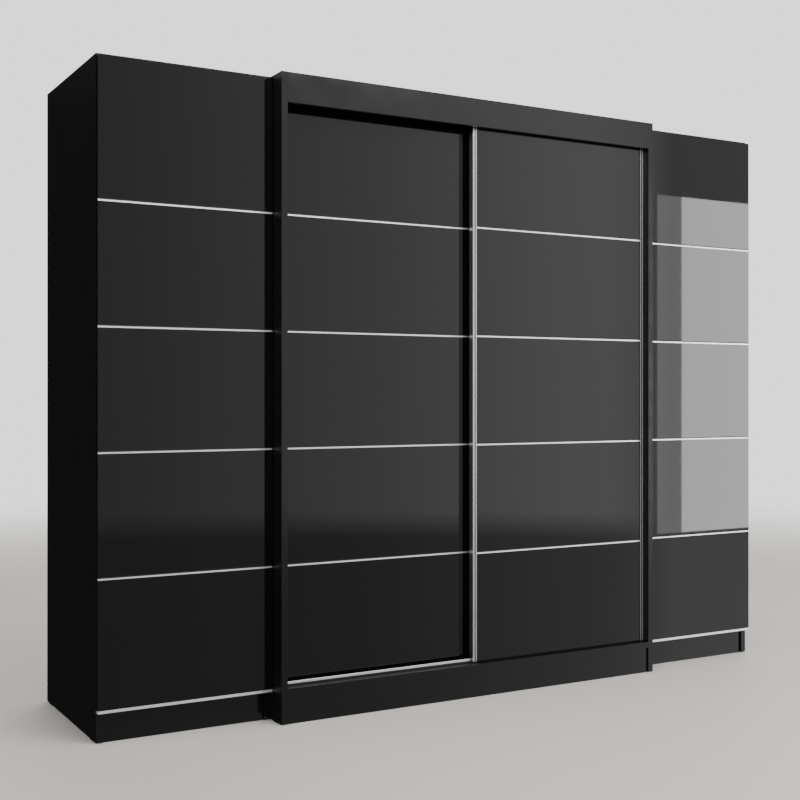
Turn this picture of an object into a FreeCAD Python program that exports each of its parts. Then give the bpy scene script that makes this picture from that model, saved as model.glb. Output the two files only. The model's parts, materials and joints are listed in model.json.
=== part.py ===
import FreeCAD, Part
import math
import os
import re
import Sketcher

# A wardrobe of three units. The middle unit has two doors that slide past each other on two tracks,
# and each side unit has one full-height hinged door. X runs across the front, -Y is the front, +Z is up,
# and the origin is on the floor under the middle of the outer box. All sizes are in millimetres.

doc = FreeCAD.newDocument("Wardrobe")

DIMENSIONS = {
    # the three cabinets
    "overall_width": 2766, "overall_depth": 706, "overall_height": 2150,
    "centre_width": 1588, "side_setback": 70.4, "gable_thickness": 22, "board_thickness": 22,
    "glide_height": 3, "glide_length": 40, "glide_inset": 30, "plinth_height": 96, "plinth_thickness": 16,
    "centre_plinth_recess": 7, "side_plinth_recess": 8,
    "header_height": 100, "header_thickness": 16, "leg_radius": 20,
    "back_thickness": 3, "back_inset": 10, "groove_depth": 6, "groove_play": 0.2,
    # shelves and rails
    "shelf_thickness": 18, "shelf_inset": 70, "shelf_play": 1, "hat_space": 330, "low_space": 380,
    "pin_radius": 2.5, "pin_play": 0.1, "pin_depth": 10, "pin_reach": 8, "pin_inset": 60,
    "rod_radius": 12.5, "rod_wall": 1.2, "rod_drop": 55, "rod_play": 0.1,
    "socket_radius": 20, "socket_base": 3, "socket_depth": 14, "socket_wall": 3,
    # bolts that join neighbouring cabinets
    "bolt_radius": 4, "bolt_play": 0.2, "bolt_head_radius": 8.5, "bolt_head": 2.5, "bolt_inset": 130,
    # hinged doors
    "hinged_door_thickness": 19, "door_gap": 2, "door_top_gap": 8, "door_side_gap": 2,
    "trim_height": 9, "trim_wall": 1.5, "strip_height": 6.5, "strip_depth": 3, "strip_proud": 0.5,
    "hinge_edge": 110,
    "cup_inset": 22.5, "cup_radius": 17.4, "cup_play": 0.1, "cup_depth": 11.5, "cup_wall": 1,
    "flange_radius": 20, "flange_thickness": 1,
    "plate_thickness": 4, "plate_length": 50, "plate_inset": 12, "plate_half_height": 25,
    "arm_width": 16, "arm_half_height": 7, "arm_inset": 11, "arm_fork": 8,
    "link_inset": 15, "link_setback": 5, "link_half_height": 5, "link_radius": 3, "link_length": 26,
    "link_width": 4, "link_angle": 35, "link_play": 0.05, "link_pin_radius": 1.5,
    "latch_width": 14, "latch_length": 60, "latch_height": 18,
    "plunger_radius": 4, "plunger_play": 0.1, "plunger_length": 45, "plunger_bore": 50, "plunger_gap": 0.1,
    "buffer_radius": 4, "buffer_gap": 0.1, "buffer_inset": 250,
    # sliding doors and their tracks
    "sliding_setback": 26.4, "track_pitch": 47, "sliding_depth": 25, "interior_gap": 6,
    "door_overlap": 57, "side_play": 1, "door_rise": 3.5, "door_top_space": 44.5,
    "stile_width": 17, "stile_nose": 10.5, "stile_wall": 2, "stile_groove": 3, "stile_rib": 7.5,
    "stile_inner_rib": 5.5, "stile_edge": 0.7,
    "panel_gap": 3.2, "panel_recess": 1, "panel_back": 8, "web_thickness": 2, "web_play": 0.2,
    "strip_flange": 1, "strip_rear": 1.5, "strip_rear_height": 16,
    "end_rail_height": 44, "end_rail_wall": 1.5, "end_rail_rise": 5.5,
    "base_height": 6.5, "base_width": 12, "rail_height": 7.5, "rail_width": 4, "rail_chamfer": 0.8,
    "wheel_radius": 13, "wheel_flange": 3, "wheel_width": 8, "wheel_play": 0.1, "wheel_headroom": 2,
    "tread_play": 0.3, "tread_slope": 0.5, "block_height": 5,
    "axle_radius": 2, "axle_play": 0.05, "carriage_inset": 90, "carriage_length": 44,
    "cheek_front": 2.5, "cheek_rear": 1.8, "carriage_play": 0.4,
    "track_height": 34, "track_wall": 2, "guide_length": 60, "guide_foot": 20, "guide_play": 0.8,
    "guide_clearance": 8,
    "stop_gap": 0.5,
}

sheet = doc.addObject("Spreadsheet::Sheet", "Size")
for row, (alias, value) in enumerate(DIMENSIONS.items(), start=1):
    sheet.set(f"A{row}", str(value))
    sheet.setAlias(f"A{row}", alias)
doc.recompute()

HINGES = 4
SLIDING_PANELS = 5
SIDES = (("left", -1), ("right", 1))
NODES = []

# planes that several pieces share, written with the sheet's names
FRONT = "(0 - overall_depth / 2)"
BACK = "(overall_depth / 2)"
PANEL_FRONT = "(overall_depth / 2 - back_inset - back_thickness)"
SIDE_FACE = f"({FRONT} + side_setback)"
SIDE_FRONT = f"({SIDE_FACE} + hinged_door_thickness + door_gap)"
SLIDE_FACE = f"({FRONT} + sliding_setback)"
INSIDE_FRONT = f"({SLIDE_FACE} + track_pitch + sliding_depth + interior_gap)"
FLOOR_TOP = "(plinth_height + board_thickness)"
UNDER_TOP = "(overall_height - board_thickness)"
CENTRE_HALF = "(centre_width / 2)"
OPEN_HALF = "(centre_width / 2 - gable_thickness)"
OUTER_HALF = "(overall_width / 2)"
DOOR_WIDTH = "(centre_width / 2 - gable_thickness - side_play + door_overlap / 2)"
DOOR_BOTTOM = "(plinth_height + board_thickness + door_rise)"
DOOR_TOP = "(overall_height - board_thickness - door_top_space)"
STRIP_PITCH = f"(({DOOR_TOP} - {DOOR_BOTTOM}) / {SLIDING_PANELS})"
RAIL_TOP = "(plinth_height + board_thickness + base_height + rail_height)"
AXLE_HEIGHT = f"({RAIL_TOP} + wheel_radius + wheel_play)"
BLOCK_BOTTOM = f"({AXLE_HEIGHT} + wheel_radius + wheel_flange + wheel_headroom)"
CHANNEL_CEILING = f"({BLOCK_BOTTOM} + block_height)"
CHANNEL_FLOOR = f"({DOOR_BOTTOM} + end_rail_rise)"
TRACK_CENTRE = "((panel_back + sliding_depth) / 2)"
HAT_BOTTOM = f"({UNDER_TOP} - hat_space - shelf_thickness)"
LEAF_BOTTOM = "(plinth_height + 1)"
LEAF_TOP = "(overall_height - door_top_gap)"


def sized(text):
    """Writes each plain name in an expression as a cell of the sheet."""
    return re.sub(r"\b([a-z][a-z_]+)\b", r"Size.\1", str(text))


def bind(obj, prop, text):
    obj.setExpression(prop, sized(text))


def place(obj, corner):
    for axis, text in zip("xyz", corner):
        bind(obj, f"Placement.Base.{axis}", text)
    return obj


def node(obj, label):
    """Marks an object as one of the wardrobe's sub-parts."""
    obj.Label = label
    NODES.append(obj)
    return obj


def box(label, corner, size):
    """A block from its lowest corner and its size in X, Y and Z."""
    obj = doc.addObject("Part::Box", label)
    for prop, text in zip(("Length", "Width", "Height"), size):
        bind(obj, prop, text)
    return place(obj, corner)


TURNS = {
    "x": FreeCAD.Rotation(FreeCAD.Vector(0, 1, 0), 90),
    "y": FreeCAD.Rotation(FreeCAD.Vector(1, 0, 0), -90),
    "z": FreeCAD.Rotation(),
}


def rod(label, axis, radius, length, start):
    """A round bar along an axis, from the centre of its lower end."""
    obj = doc.addObject("Part::Cylinder", label)
    bind(obj, "Radius", radius)
    bind(obj, "Height", length)
    obj.Placement = FreeCAD.Placement(FreeCAD.Vector(), TURNS[axis])
    return place(obj, start)


def group(label, pieces):
    obj = doc.addObject("Part::Compound", label)
    obj.Links = pieces
    return obj


def fused(label, pieces):
    obj = doc.addObject("Part::MultiFuse", label)
    obj.Shapes = pieces
    return obj


def cut(label, base, tools):
    obj = doc.addObject("Part::Cut", label)
    obj.Base = base
    obj.Tool = tools[0] if len(tools) == 1 else group(f"{label}_tools", tools)
    return obj


def outline(body, plane, points):
    """A closed sketch on one of the body's origin planes, each corner held by two bound distances."""
    sketch = body.newObject("Sketcher::SketchObject", f"{body.Name}_outline")
    sketch.AttachmentSupport = [(p, "") for p in body.Origin.OriginFeatures if p.Role == plane]
    sketch.MapMode = "FlatFace"
    count = len(points)
    turn = 2 * math.pi / count
    start = [FreeCAD.Vector(math.cos(turn * i), math.sin(turn * i), 0) for i in range(count)]
    for i in range(count):
        sketch.addGeometry(Part.LineSegment(start[i], start[(i + 1) % count]))
    for i in range(count):
        sketch.addConstraint(Sketcher.Constraint("Coincident", i, 2, (i + 1) % count, 1))
    for i, corner in enumerate(points):
        for kind, text, value in zip(("DistanceX", "DistanceY"), corner, start[i]):
            index = sketch.addConstraint(Sketcher.Constraint(kind, -1, 1, i, 1, value))
            bind(sketch, f"Constraints[{index}]", text)
    return sketch


def extruded(label, plane, points, length, corner):
    """A profile of constant section: along X from a YZ section, or upwards from an XY section."""
    body = doc.addObject("PartDesign::Body", label)
    pad = body.newObject("PartDesign::Pad", f"{label}_pad")
    pad.Profile = outline(body, plane, points)
    bind(pad, "Length", length)
    body.Tip = pad
    return place(body, corner)


def turned(label, points, centre):
    """A turned piece about its own Y axis, from points of distance along the axis and radius."""
    body = doc.addObject("PartDesign::Body", label)
    sketch = outline(body, "YZ_Plane", points)
    spin = body.newObject("PartDesign::Revolution", f"{label}_turn")
    spin.Profile = sketch
    spin.ReferenceAxis = (sketch, ["H_Axis"])
    spin.Angle = 360
    body.Tip = spin
    return place(body, centre)


def across(sign, near, far):
    """Corner and length in X of a board from near to far of the middle plane, on one side of it."""
    corner = near if sign > 0 else f"0 - ({far})"
    return corner, f"({far}) - ({near})"


def sided(sign, distance):
    return distance if sign > 0 else f"0 - ({distance})"


# ---------------------------------------------------------------- shelves, pins and boards

shelf_pins = []
drilled = {}


def drill(board, tool):
    drilled.setdefault(board, []).append(tool)


def shelf(label, left, right, front, bottom, boards):
    """A loose shelf between two board faces, with two pins in each board under it."""
    depth = f"{PANEL_FRONT} - ({front}) - shelf_inset - shelf_play"
    width = f"({right}) - ({left}) - 2 * shelf_play"
    corner = (f"({left}) + shelf_play", f"({front}) + shelf_inset", bottom)
    board = box(label, corner, (width, depth, "shelf_thickness"))
    rows = (f"({front}) + shelf_inset + pin_inset", f"{PANEL_FRONT} - pin_inset")
    height = f"({bottom}) - pin_radius"
    for end, (face, inward, name) in enumerate(((left, 1, boards[0]), (right, -1, boards[1]))):
        start = f"({face}) - pin_depth" if inward > 0 else f"({face}) - pin_reach"
        mouth = f"({face}) - pin_depth - pin_play" if inward > 0 else face
        for row, depth_line in enumerate(rows):
            tag = f"{label}_{end}{row}"
            place_at = (start, depth_line, height)
            shelf_pins.append(rod(f"pin_{tag}", "x", "pin_radius", "pin_depth + pin_reach", place_at))
            hole_at = (mouth, depth_line, height)
            hole = rod(f"hole_{tag}", "x", "pin_radius + pin_play", "pin_depth + pin_play", hole_at)
            drill(name, hole)
    return board


def groove(name, face, inward):
    """The slot in a board that holds the edge of a back panel."""
    start = f"({face}) - groove_depth" if inward > 0 else face
    corner = (start, f"{PANEL_FRONT} - groove_play / 2", "plinth_height")
    size = ("groove_depth", "back_thickness + groove_play", "overall_height")
    drill(name, box(f"groove_{name}_{inward}", corner, size))


def back_panel(label, left, right):
    corner = (f"({left}) - groove_depth + groove_play", PANEL_FRONT, "plinth_height")
    width = f"({right}) - ({left}) + 2 * groove_depth - 2 * groove_play"
    return box(label, corner, (width, "back_thickness", "overall_height - plinth_height"))


def gable(label, x_corner, front):
    """An upright board on its glides, cut for the back panel, shelf pins and bolts drilled in it."""
    size = ("gable_thickness", f"{BACK} - ({front})", "overall_height - glide_height")
    blank = box(f"{label}_blank", (x_corner, front, "glide_height"), size)
    return node(cut(label, blank, drilled[label]), label)


# ---------------------------------------------------------------- hanging rails

hanging_rails = []
rail_sockets = []


def socket(label, face, inward, depth_line, height):
    """A round socket screwed to a board face, open towards the rail."""
    base_start = face if inward > 0 else f"({face}) - socket_base"
    ring_start = face if inward > 0 else f"({face}) - socket_depth"
    base = rod(f"{label}_base", "x", "socket_radius", "socket_base", (base_start, depth_line, height))
    ring_radius = "rod_radius + rod_play + socket_wall"
    ring = rod(f"{label}_ring", "x", ring_radius, "socket_depth", (ring_start, depth_line, height))
    bore_start = f"({face}) + socket_base" if inward > 0 else f"({face}) - socket_depth"
    bore_length = "socket_depth - socket_base"
    bore = rod(f"{label}_bore", "x", "rod_radius + rod_play", bore_length, (bore_start, depth_line, height))
    rail_sockets.append(cut(label, fused(f"{label}_blank", [base, ring]), [bore]))


def hanging_rail(label, left, right, front):
    depth_line = f"(({front}) + {PANEL_FRONT}) / 2"
    height = f"{HAT_BOTTOM} - rod_drop"
    start = (f"({left}) + socket_base + rod_play", depth_line, height)
    length = f"({right}) - ({left}) - 2 * socket_base - 2 * rod_play"
    outside = rod(f"{label}_outside", "x", "rod_radius", length, start)
    inside = rod(f"{label}_inside", "x", "rod_radius - rod_wall", length, start)
    hanging_rails.append(cut(label, outside, [inside]))
    socket(f"{label}_left_socket", left, 1, depth_line, height)
    socket(f"{label}_right_socket", right, -1, depth_line, height)


# ---------------------------------------------------------------- bolts between cabinets

cabinet_bolts = []


def unit_bolts(side, sign):
    """Four bolts through a side unit's inner gable and the middle unit's gable."""
    heights = ("bolt_inset + plinth_height", "overall_height - 2 * bolt_inset")
    depths = (f"{SIDE_FRONT} + bolt_inset", f"{BACK} - bolt_inset")
    inner = sided(sign, OPEN_HALF)
    outer = sided(sign, f"{CENTRE_HALF} + gable_thickness")
    low = inner if sign > 0 else outer
    high = outer if sign > 0 else inner
    for i, height in enumerate(heights):
        for j, depth_line in enumerate(depths):
            tag = f"{side}_{i}{j}"
            at = (low, depth_line, height)
            shank = rod(f"shank_{tag}", "x", "bolt_radius", "2 * gable_thickness", at)
            head_at = (f"({low}) - bolt_head", depth_line, height)
            head = rod(f"head_{tag}", "x", "bolt_head_radius", "bolt_head", head_at)
            nut = rod(f"nut_{tag}", "x", "bolt_head_radius", "bolt_head", (high, depth_line, height))
            cabinet_bolts.append(fused(f"bolt_{tag}", [shank, head, nut]))
            for name in (f"{side}_inner_gable", f"centre_{side}_gable"):
                tool = f"bolt_hole_{name}_{i}{j}"
                hole_at = (f"({low}) - 1", depth_line, height)
                hole = rod(tool, "x", "bolt_radius + bolt_play", "2 * gable_thickness + 2", hole_at)
                drill(name, hole)


# ---------------------------------------------------------------- side units

floor_glides = []
pairs = {"side_top_boards": [], "side_bottom_boards": [], "side_back_panels": [], "side_plinths": []}


def glides(label, x_corner, front):
    size = ("gable_thickness", "glide_length", "glide_height")
    ends = (f"({front}) + glide_inset", f"{BACK} - glide_inset - glide_length")
    for i, start in enumerate(ends):
        floor_glides.append(box(f"glide_{label}_{i}", (x_corner, start, "0"), size))


def side_unit(side, sign):
    outer_corner, _ = across(sign, f"{OUTER_HALF} - gable_thickness", OUTER_HALF)
    inner_corner, _ = across(sign, CENTRE_HALF, f"{CENTRE_HALF} + gable_thickness")
    bay_corner, bay = across(sign, f"{CENTRE_HALF} + gable_thickness", f"{OUTER_HALF} - gable_thickness")
    left = bay_corner
    right = f"({bay_corner}) + ({bay})"
    names = (f"{side}_outer_gable", f"{side}_inner_gable")
    boards = names if sign < 0 else names[::-1]
    groove(boards[0], left, 1)
    groove(boards[1], right, -1)
    unit_bolts(side, sign)
    clear = f"({UNDER_TOP} - {FLOOR_TOP})"
    if side == "left":
        bottoms = [f"{FLOOR_TOP} + low_space", HAT_BOTTOM]
        hanging_rail("left_rail", left, right, SIDE_FRONT)
    else:
        bottoms = [f"{FLOOR_TOP} + {clear} * {k} / 6 - shelf_thickness / 2" for k in range(1, 6)]
    shelves = [shelf(f"{side}_shelf_{k}", left, right, SIDE_FRONT, bottom, boards)
               for k, bottom in enumerate(bottoms)]
    node(group(f"{side}_shelves", shelves), f"{side}_shelves")
    depth = f"{PANEL_FRONT} - {SIDE_FRONT}"
    board = (bay, depth, "board_thickness")
    pairs["side_top_boards"].append(box(f"{side}_top", (left, SIDE_FRONT, UNDER_TOP), board))
    pairs["side_bottom_boards"].append(box(f"{side}_bottom", (left, SIDE_FRONT, "plinth_height"), board))
    pairs["side_back_panels"].append(back_panel(f"{side}_back", left, right))
    gable(f"{side}_outer_gable", outer_corner, SIDE_FRONT)
    gable(f"{side}_inner_gable", inner_corner, SIDE_FRONT)
    glides(f"{side}_outer", outer_corner, SIDE_FRONT)
    glides(f"{side}_inner", inner_corner, SIDE_FRONT)
    plinth_at = (left, f"{SIDE_FRONT} + side_plinth_recess", "0")
    plinth = (bay, "plinth_thickness", "plinth_height")
    pairs["side_plinths"].append(box(f"{side}_plinth", plinth_at, plinth))


for side, sign in SIDES:
    side_unit(side, sign)
for name, pieces in pairs.items():
    node(group(name, pieces), name)


# ---------------------------------------------------------------- middle unit

def centre_unit():
    partition_left = "(0 - gable_thickness / 2)"
    partition_right = "(gable_thickness / 2)"
    left = f"(0 - {OPEN_HALF})"
    boards = ("centre_left_gable", "centre_partition", "centre_right_gable")
    groove(boards[0], left, 1)
    groove(boards[1], partition_left, -1)
    groove(boards[1], partition_right, 1)
    groove(boards[2], OPEN_HALF, -1)
    hanging_rail("centre_rail", left, partition_left, INSIDE_FRONT)
    front = f"{INSIDE_FRONT} - shelf_inset"
    shelves = [shelf("centre_hat_shelf_left", left, partition_left, front, HAT_BOTTOM, boards[:2])]
    right_hat = shelf("centre_hat_shelf_right", partition_right, OPEN_HALF, front, HAT_BOTTOM, boards[1:])
    shelves.append(right_hat)
    for k in range(1, 5):
        bottom = f"{FLOOR_TOP} + ({HAT_BOTTOM} - {FLOOR_TOP}) * {k} / 5 - shelf_thickness / 2"
        shelves.append(shelf(f"centre_shelf_{k}", partition_right, OPEN_HALF, front, bottom, boards[1:]))
    node(group("centre_shelves", shelves), "centre_shelves")
    gable("centre_left_gable", f"0 - {CENTRE_HALF}", FRONT)
    gable("centre_right_gable", OPEN_HALF, FRONT)
    glides("centre_left", f"0 - {CENTRE_HALF}", FRONT)
    glides("centre_right", OPEN_HALF, FRONT)
    size = ("gable_thickness", f"{BACK} - {INSIDE_FRONT}", f"{UNDER_TOP} - {FLOOR_TOP}")
    blank = box("partition_blank", (partition_left, INSIDE_FRONT, FLOOR_TOP), size)
    node(cut("centre_partition", blank, drilled["centre_partition"]), "centre_partition")
    inside = f"2 * {OPEN_HALF}"
    top_front = f"{FRONT} + header_thickness"
    top = (inside, f"{PANEL_FRONT} - ({top_front})", "board_thickness")
    node(box("centre_top_board", (left, top_front, UNDER_TOP), top), "centre_top_board")
    bottom = (inside, f"{PANEL_FRONT} - {FRONT}", "board_thickness")
    node(box("centre_bottom_board", (left, FRONT, "plinth_height"), bottom), "centre_bottom_board")
    plinth_at = (left, f"{FRONT} + centre_plinth_recess", "0")
    plinth = (inside, "plinth_thickness", "plinth_height")
    node(box("centre_plinth", plinth_at, plinth), "centre_plinth")
    header_at = (left, FRONT, "overall_height - header_height")
    node(box("header_fascia", header_at, (inside, "header_thickness", "header_height")), "header_fascia")
    panels = []
    for name, start, end in (("left", left, partition_left), ("right", partition_right, OPEN_HALF)):
        corner = (f"{start} - groove_depth + groove_play", PANEL_FRONT, f"{FLOOR_TOP} - groove_depth")
        width = f"{end} - {start} + 2 * groove_depth - 2 * groove_play"
        size = (width, "back_thickness", f"{UNDER_TOP} - {FLOOR_TOP} + 2 * groove_depth")
        panels.append(box(f"centre_{name}_back", corner, size))
    node(group("centre_back_panels", panels), "centre_back_panels")
    legs = []
    for i, depth_line in enumerate((f"{INSIDE_FRONT} + bolt_inset", f"{PANEL_FRONT} - bolt_inset")):
        legs.append(rod(f"leg_{i}", "z", "leg_radius", "plinth_height", ("0", depth_line, "0")))
    node(group("support_legs", legs), "support_legs")


centre_unit()
node(group("hanging_rails", hanging_rails), "hanging_rails")
node(group("rail_sockets", rail_sockets), "rail_sockets")
node(group("shelf_pins", shelf_pins), "shelf_pins")
node(group("cabinet_bolts", cabinet_bolts), "cabinet_bolts")
node(group("floor_glides", floor_glides), "floor_glides")


# ---------------------------------------------------------------- hinged doors

HINGE_PITCH = f"(({LEAF_TOP} - {LEAF_BOTTOM} - 2 * hinge_edge) / {HINGES - 1})"
HINGE_HEIGHTS = [f"({LEAF_BOTTOM} + hinge_edge + {HINGE_PITCH} * {k})" for k in range(HINGES)]
STRIP_HEIGHTS = [f"({DOOR_BOTTOM} + {STRIP_PITCH} * {k})" for k in range(1, SLIDING_PANELS)]
LEAF_BACK = f"({SIDE_FACE} + hinged_door_thickness)"

hinge_arms = []
latch_bodies = []
door_buffers = []


def hinged_leaf(side, corner, width, cup_line):
    size = (width, "hinged_door_thickness - strip_proud", f"{LEAF_TOP} - {LEAF_BOTTOM} - trim_height")
    leaf_at = (corner, f"{SIDE_FACE} + strip_proud", f"{LEAF_BOTTOM} + trim_height")
    blank = box(f"{side}_leaf_blank", leaf_at, size)
    tools = []
    strips = []
    for k, height in enumerate(STRIP_HEIGHTS):
        at = (corner, SIDE_FACE, f"{height} - strip_height / 2")
        strip = (width, "strip_depth", "strip_height")
        tools.append(box(f"{side}_strip_slot_{k}", at, strip))
        strips.append(box(f"{side}_strip_{k}", at, strip))
    for k, height in enumerate(HINGE_HEIGHTS):
        at = (cup_line, f"{LEAF_BACK} - cup_depth - cup_play", height)
        deep = "cup_depth + cup_play + 1"
        tools.append(rod(f"{side}_cup_hole_{k}", "y", "cup_radius + cup_play", deep, at))
    node(cut(f"{side}_door_leaf", blank, tools), f"{side}_door_leaf")
    node(group(f"{side}_door_strips", strips), f"{side}_door_strips")


def bottom_trim(side, corner, width):
    """An edge profile under the leaf: a thick front lip and a channel behind it."""
    depth = "hinged_door_thickness"
    points = (
        ("0", "0"), (depth, "0"), (depth, "trim_height"), (f"{depth} - trim_wall", "trim_height"),
        (f"{depth} - trim_wall", "trim_wall"), ("strip_depth", "trim_wall"), ("strip_depth", "trim_height"),
        ("0", "trim_height"),
    )
    body = extruded(f"{side}_trim", "YZ_Plane", points, width, (corner, SIDE_FACE, LEAF_BOTTOM))
    node(body, f"{side}_door_trim")


def hinge_cups(side, cup_line):
    outer = "cup_radius"
    inner = "cup_radius - cup_wall"
    points = (
        ("0 - cup_depth", "0"), ("0 - cup_depth", outer), ("0", outer), ("0", "flange_radius"),
        ("flange_thickness", "flange_radius"), ("flange_thickness", inner), ("cup_wall - cup_depth", inner),
        ("cup_wall - cup_depth", "0"),
    )
    cups = [turned(f"{side}_cup_{k}", points, (cup_line, LEAF_BACK, height))
            for k, height in enumerate(HINGE_HEIGHTS)]
    node(group(f"{side}_hinge_cups", cups), f"{side}_hinge_cups")


def hinge_arm(side, sign, k, height):
    """A mounting plate on the gable with an arm that ends in a fork and its pin."""
    gable_face = f"{OUTER_HALF} - gable_thickness"
    plate_x, plate_t = across(sign, f"{gable_face} - plate_thickness", gable_face)
    plate_at = (plate_x, f"{SIDE_FRONT} + plate_inset", f"{height} - plate_half_height")
    plate = box(f"{side}_plate_{k}", plate_at, (plate_t, "plate_length", "2 * plate_half_height"))
    arm_far = f"{gable_face} - plate_thickness"
    arm_x, arm_w = across(sign, f"{arm_far} - arm_width", arm_far)
    arm_start = f"{SIDE_FRONT} + arm_inset"
    arm_size = (arm_w, "plate_length", "2 * arm_half_height")
    arm = box(f"{side}_arm_{k}", (arm_x, arm_start, f"{height} - arm_half_height"), arm_size)
    cheek = "arm_half_height - link_half_height - link_play"
    cheek_size = (arm_w, "arm_fork", cheek)
    cheek_start = f"{arm_start} - arm_fork"
    lower = box(f"{side}_cheek_low_{k}", (arm_x, cheek_start, f"{height} - arm_half_height"), cheek_size)
    upper_at = (arm_x, cheek_start, f"{height} + link_half_height + link_play")
    upper = box(f"{side}_cheek_up_{k}", upper_at, cheek_size)
    pin_x = sided(sign, f"{gable_face} - link_inset")
    pin_at = (pin_x, f"{SIDE_FRONT} + link_setback", f"{height} - arm_half_height")
    pin = rod(f"{side}_link_pin_{k}", "z", "link_pin_radius", "2 * arm_half_height", pin_at)
    hinge_arms.append(fused(f"{side}_hinge_arm_{k}", [plate, arm, lower, upper, pin]))


def hinge_link(side, sign, k, height):
    """A flat link with an eye round the fork's pin, and its other end in the cup's mouth."""
    pivot = (sided(sign, f"{OUTER_HALF} - gable_thickness - link_inset"), f"{SIDE_FRONT} + link_setback")
    low = f"{height} - link_half_height"
    thick = "2 * link_half_height"
    eye = rod(f"{side}_eye_{k}", "z", "link_radius", thick, (*pivot, low))
    bar = box(f"{side}_bar_{k}", ("0", "0 - link_width / 2", "0"), ("link_length", "link_width", thick))
    tip = rod(f"{side}_tip_{k}", "z", "link_width / 2", thick, ("link_length", "0", "0"))
    reach = fused(f"{side}_reach_{k}", [bar, tip])
    turn = 180 + DIMENSIONS["link_angle"] if sign < 0 else -DIMENSIONS["link_angle"]
    reach.Placement = FreeCAD.Placement(FreeCAD.Vector(), FreeCAD.Rotation(FreeCAD.Vector(0, 0, 1), turn))
    bind(reach, "Placement.Rotation.Angle", "180 + link_angle" if sign < 0 else "0 - link_angle")
    place(reach, (*pivot, low))
    solid = fused(f"{side}_link_blank_{k}", [eye, reach])
    hole = rod(f"{side}_eye_hole_{k}", "z", "link_pin_radius + link_play", thick, (*pivot, low))
    return cut(f"{side}_link_{k}", solid, [hole])


def latch(side, sign):
    """A push latch on the inner gable: a housing with a bore, and the plunger in it."""
    near = f"{CENTRE_HALF} + gable_thickness"
    housing_x, housing_w = across(sign, near, f"{near} + latch_width")
    height = "(overall_height / 2)"
    at = (housing_x, SIDE_FRONT, f"{height} - latch_height / 2")
    blank = box(f"{side}_latch_blank", at, (housing_w, "latch_length", "latch_height"))
    middle = sided(sign, f"{near} + latch_width / 2")
    bore_at = (middle, f"{SIDE_FRONT} - 1", height)
    bore = rod(f"{side}_latch_bore", "y", "plunger_radius + plunger_play", "plunger_bore + 1", bore_at)
    latch_bodies.append(cut(f"{side}_latch", blank, [bore]))
    start = (middle, f"{LEAF_BACK} + plunger_gap", height)
    plunger = rod(f"{side}_plunger", "y", "plunger_radius", "plunger_length", start)
    node(plunger, f"{side}_latch_plunger")


def buffers(side, sign):
    middle = sided(sign, f"{CENTRE_HALF} + gable_thickness / 2")
    heights = (f"{LEAF_BOTTOM} + buffer_inset", f"{LEAF_TOP} - buffer_inset")
    for i, height in enumerate(heights):
        at = (middle, f"{LEAF_BACK} + buffer_gap", height)
        door_buffers.append(rod(f"{side}_buffer_{i}", "y", "buffer_radius", "door_gap - buffer_gap", at))


def hinged_door(side, sign):
    corner, width = across(sign, f"{CENTRE_HALF} + door_side_gap", OUTER_HALF)
    cup_line = sided(sign, f"{OUTER_HALF} - cup_inset")
    hinged_leaf(side, corner, width, cup_line)
    bottom_trim(side, corner, width)
    hinge_cups(side, cup_line)
    links = []
    for k, height in enumerate(HINGE_HEIGHTS):
        hinge_arm(side, sign, k, height)
        links.append(hinge_link(side, sign, k, height))
    node(group(f"{side}_hinge_links", links), f"{side}_hinge_links")
    latch(side, sign)
    buffers(side, sign)


for side, sign in SIDES:
    hinged_door(side, sign)
node(group("hinge_arms", hinge_arms), "hinge_arms")
node(group("latch_bodies", latch_bodies), "latch_bodies")
node(group("door_buffers", door_buffers), "door_buffers")


# ---------------------------------------------------------------- sliding doors

def stile(label, left_hand, corner, face):
    """An upright edge profile: two ribs with a groove between, a side wall and a rear lip."""
    rib_end = "stile_rib"
    rib_start = "(stile_width - stile_inner_rib)"
    edge = "stile_edge"
    section = [
        ("0", edge), (edge, "0"), (f"{rib_end} - {edge}", "0"), (rib_end, edge), (rib_end, "stile_groove"),
        (rib_start, "stile_groove"), (rib_start, edge), (f"{rib_start} + {edge}", "0"),
        (f"stile_width - {edge}", "0"), ("stile_width", edge), ("stile_width", "stile_nose"),
        ("stile_wall", "stile_nose"), ("stile_wall", "sliding_depth - stile_wall"),
        ("stile_width", "sliding_depth - stile_wall"), ("stile_width", "sliding_depth"),
        ("0", "sliding_depth"),
    ]
    if not left_hand:
        section = [(f"stile_width - ({u})", v) for u, v in section]
    height = f"{DOOR_TOP} - {DOOR_BOTTOM}"
    profile = extruded(f"{label}_profile", "XY_Plane", section, height, (corner, face, DOOR_BOTTOM))
    notch_at = (f"{corner} - 1", f"{face} + panel_back", f"{DOOR_BOTTOM} - 1")
    notch_size = ("stile_width + 2", "sliding_depth", f"{RAIL_TOP} - {DOOR_BOTTOM} + wheel_flange + 1")
    return cut(label, profile, [box(f"{label}_notch", notch_at, notch_size)])


def cross_strip(label, corner, face, height):
    """A bar between two door panels, with a narrow flange in front and a wide one behind."""
    half = "strip_height / 2"
    web = "web_thickness / 2"
    rear = "strip_rear_height / 2"
    back = "panel_back + strip_rear"
    upper = [("panel_back", web), ("panel_back", rear), (back, rear)]
    lower = [(back, f"0 - {rear}"), ("panel_back", f"0 - {rear}"), ("panel_back", f"0 - {web}")]
    front = [("strip_flange", f"0 - {web}"), ("strip_flange", f"0 - {half}"), ("0", f"0 - {half}"),
             ("0", half), ("strip_flange", half), ("strip_flange", web)]
    length = f"{DOOR_WIDTH} - 2 * stile_width"
    return extruded(label, "YZ_Plane", upper + lower + front, length, (corner, face, height))


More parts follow.
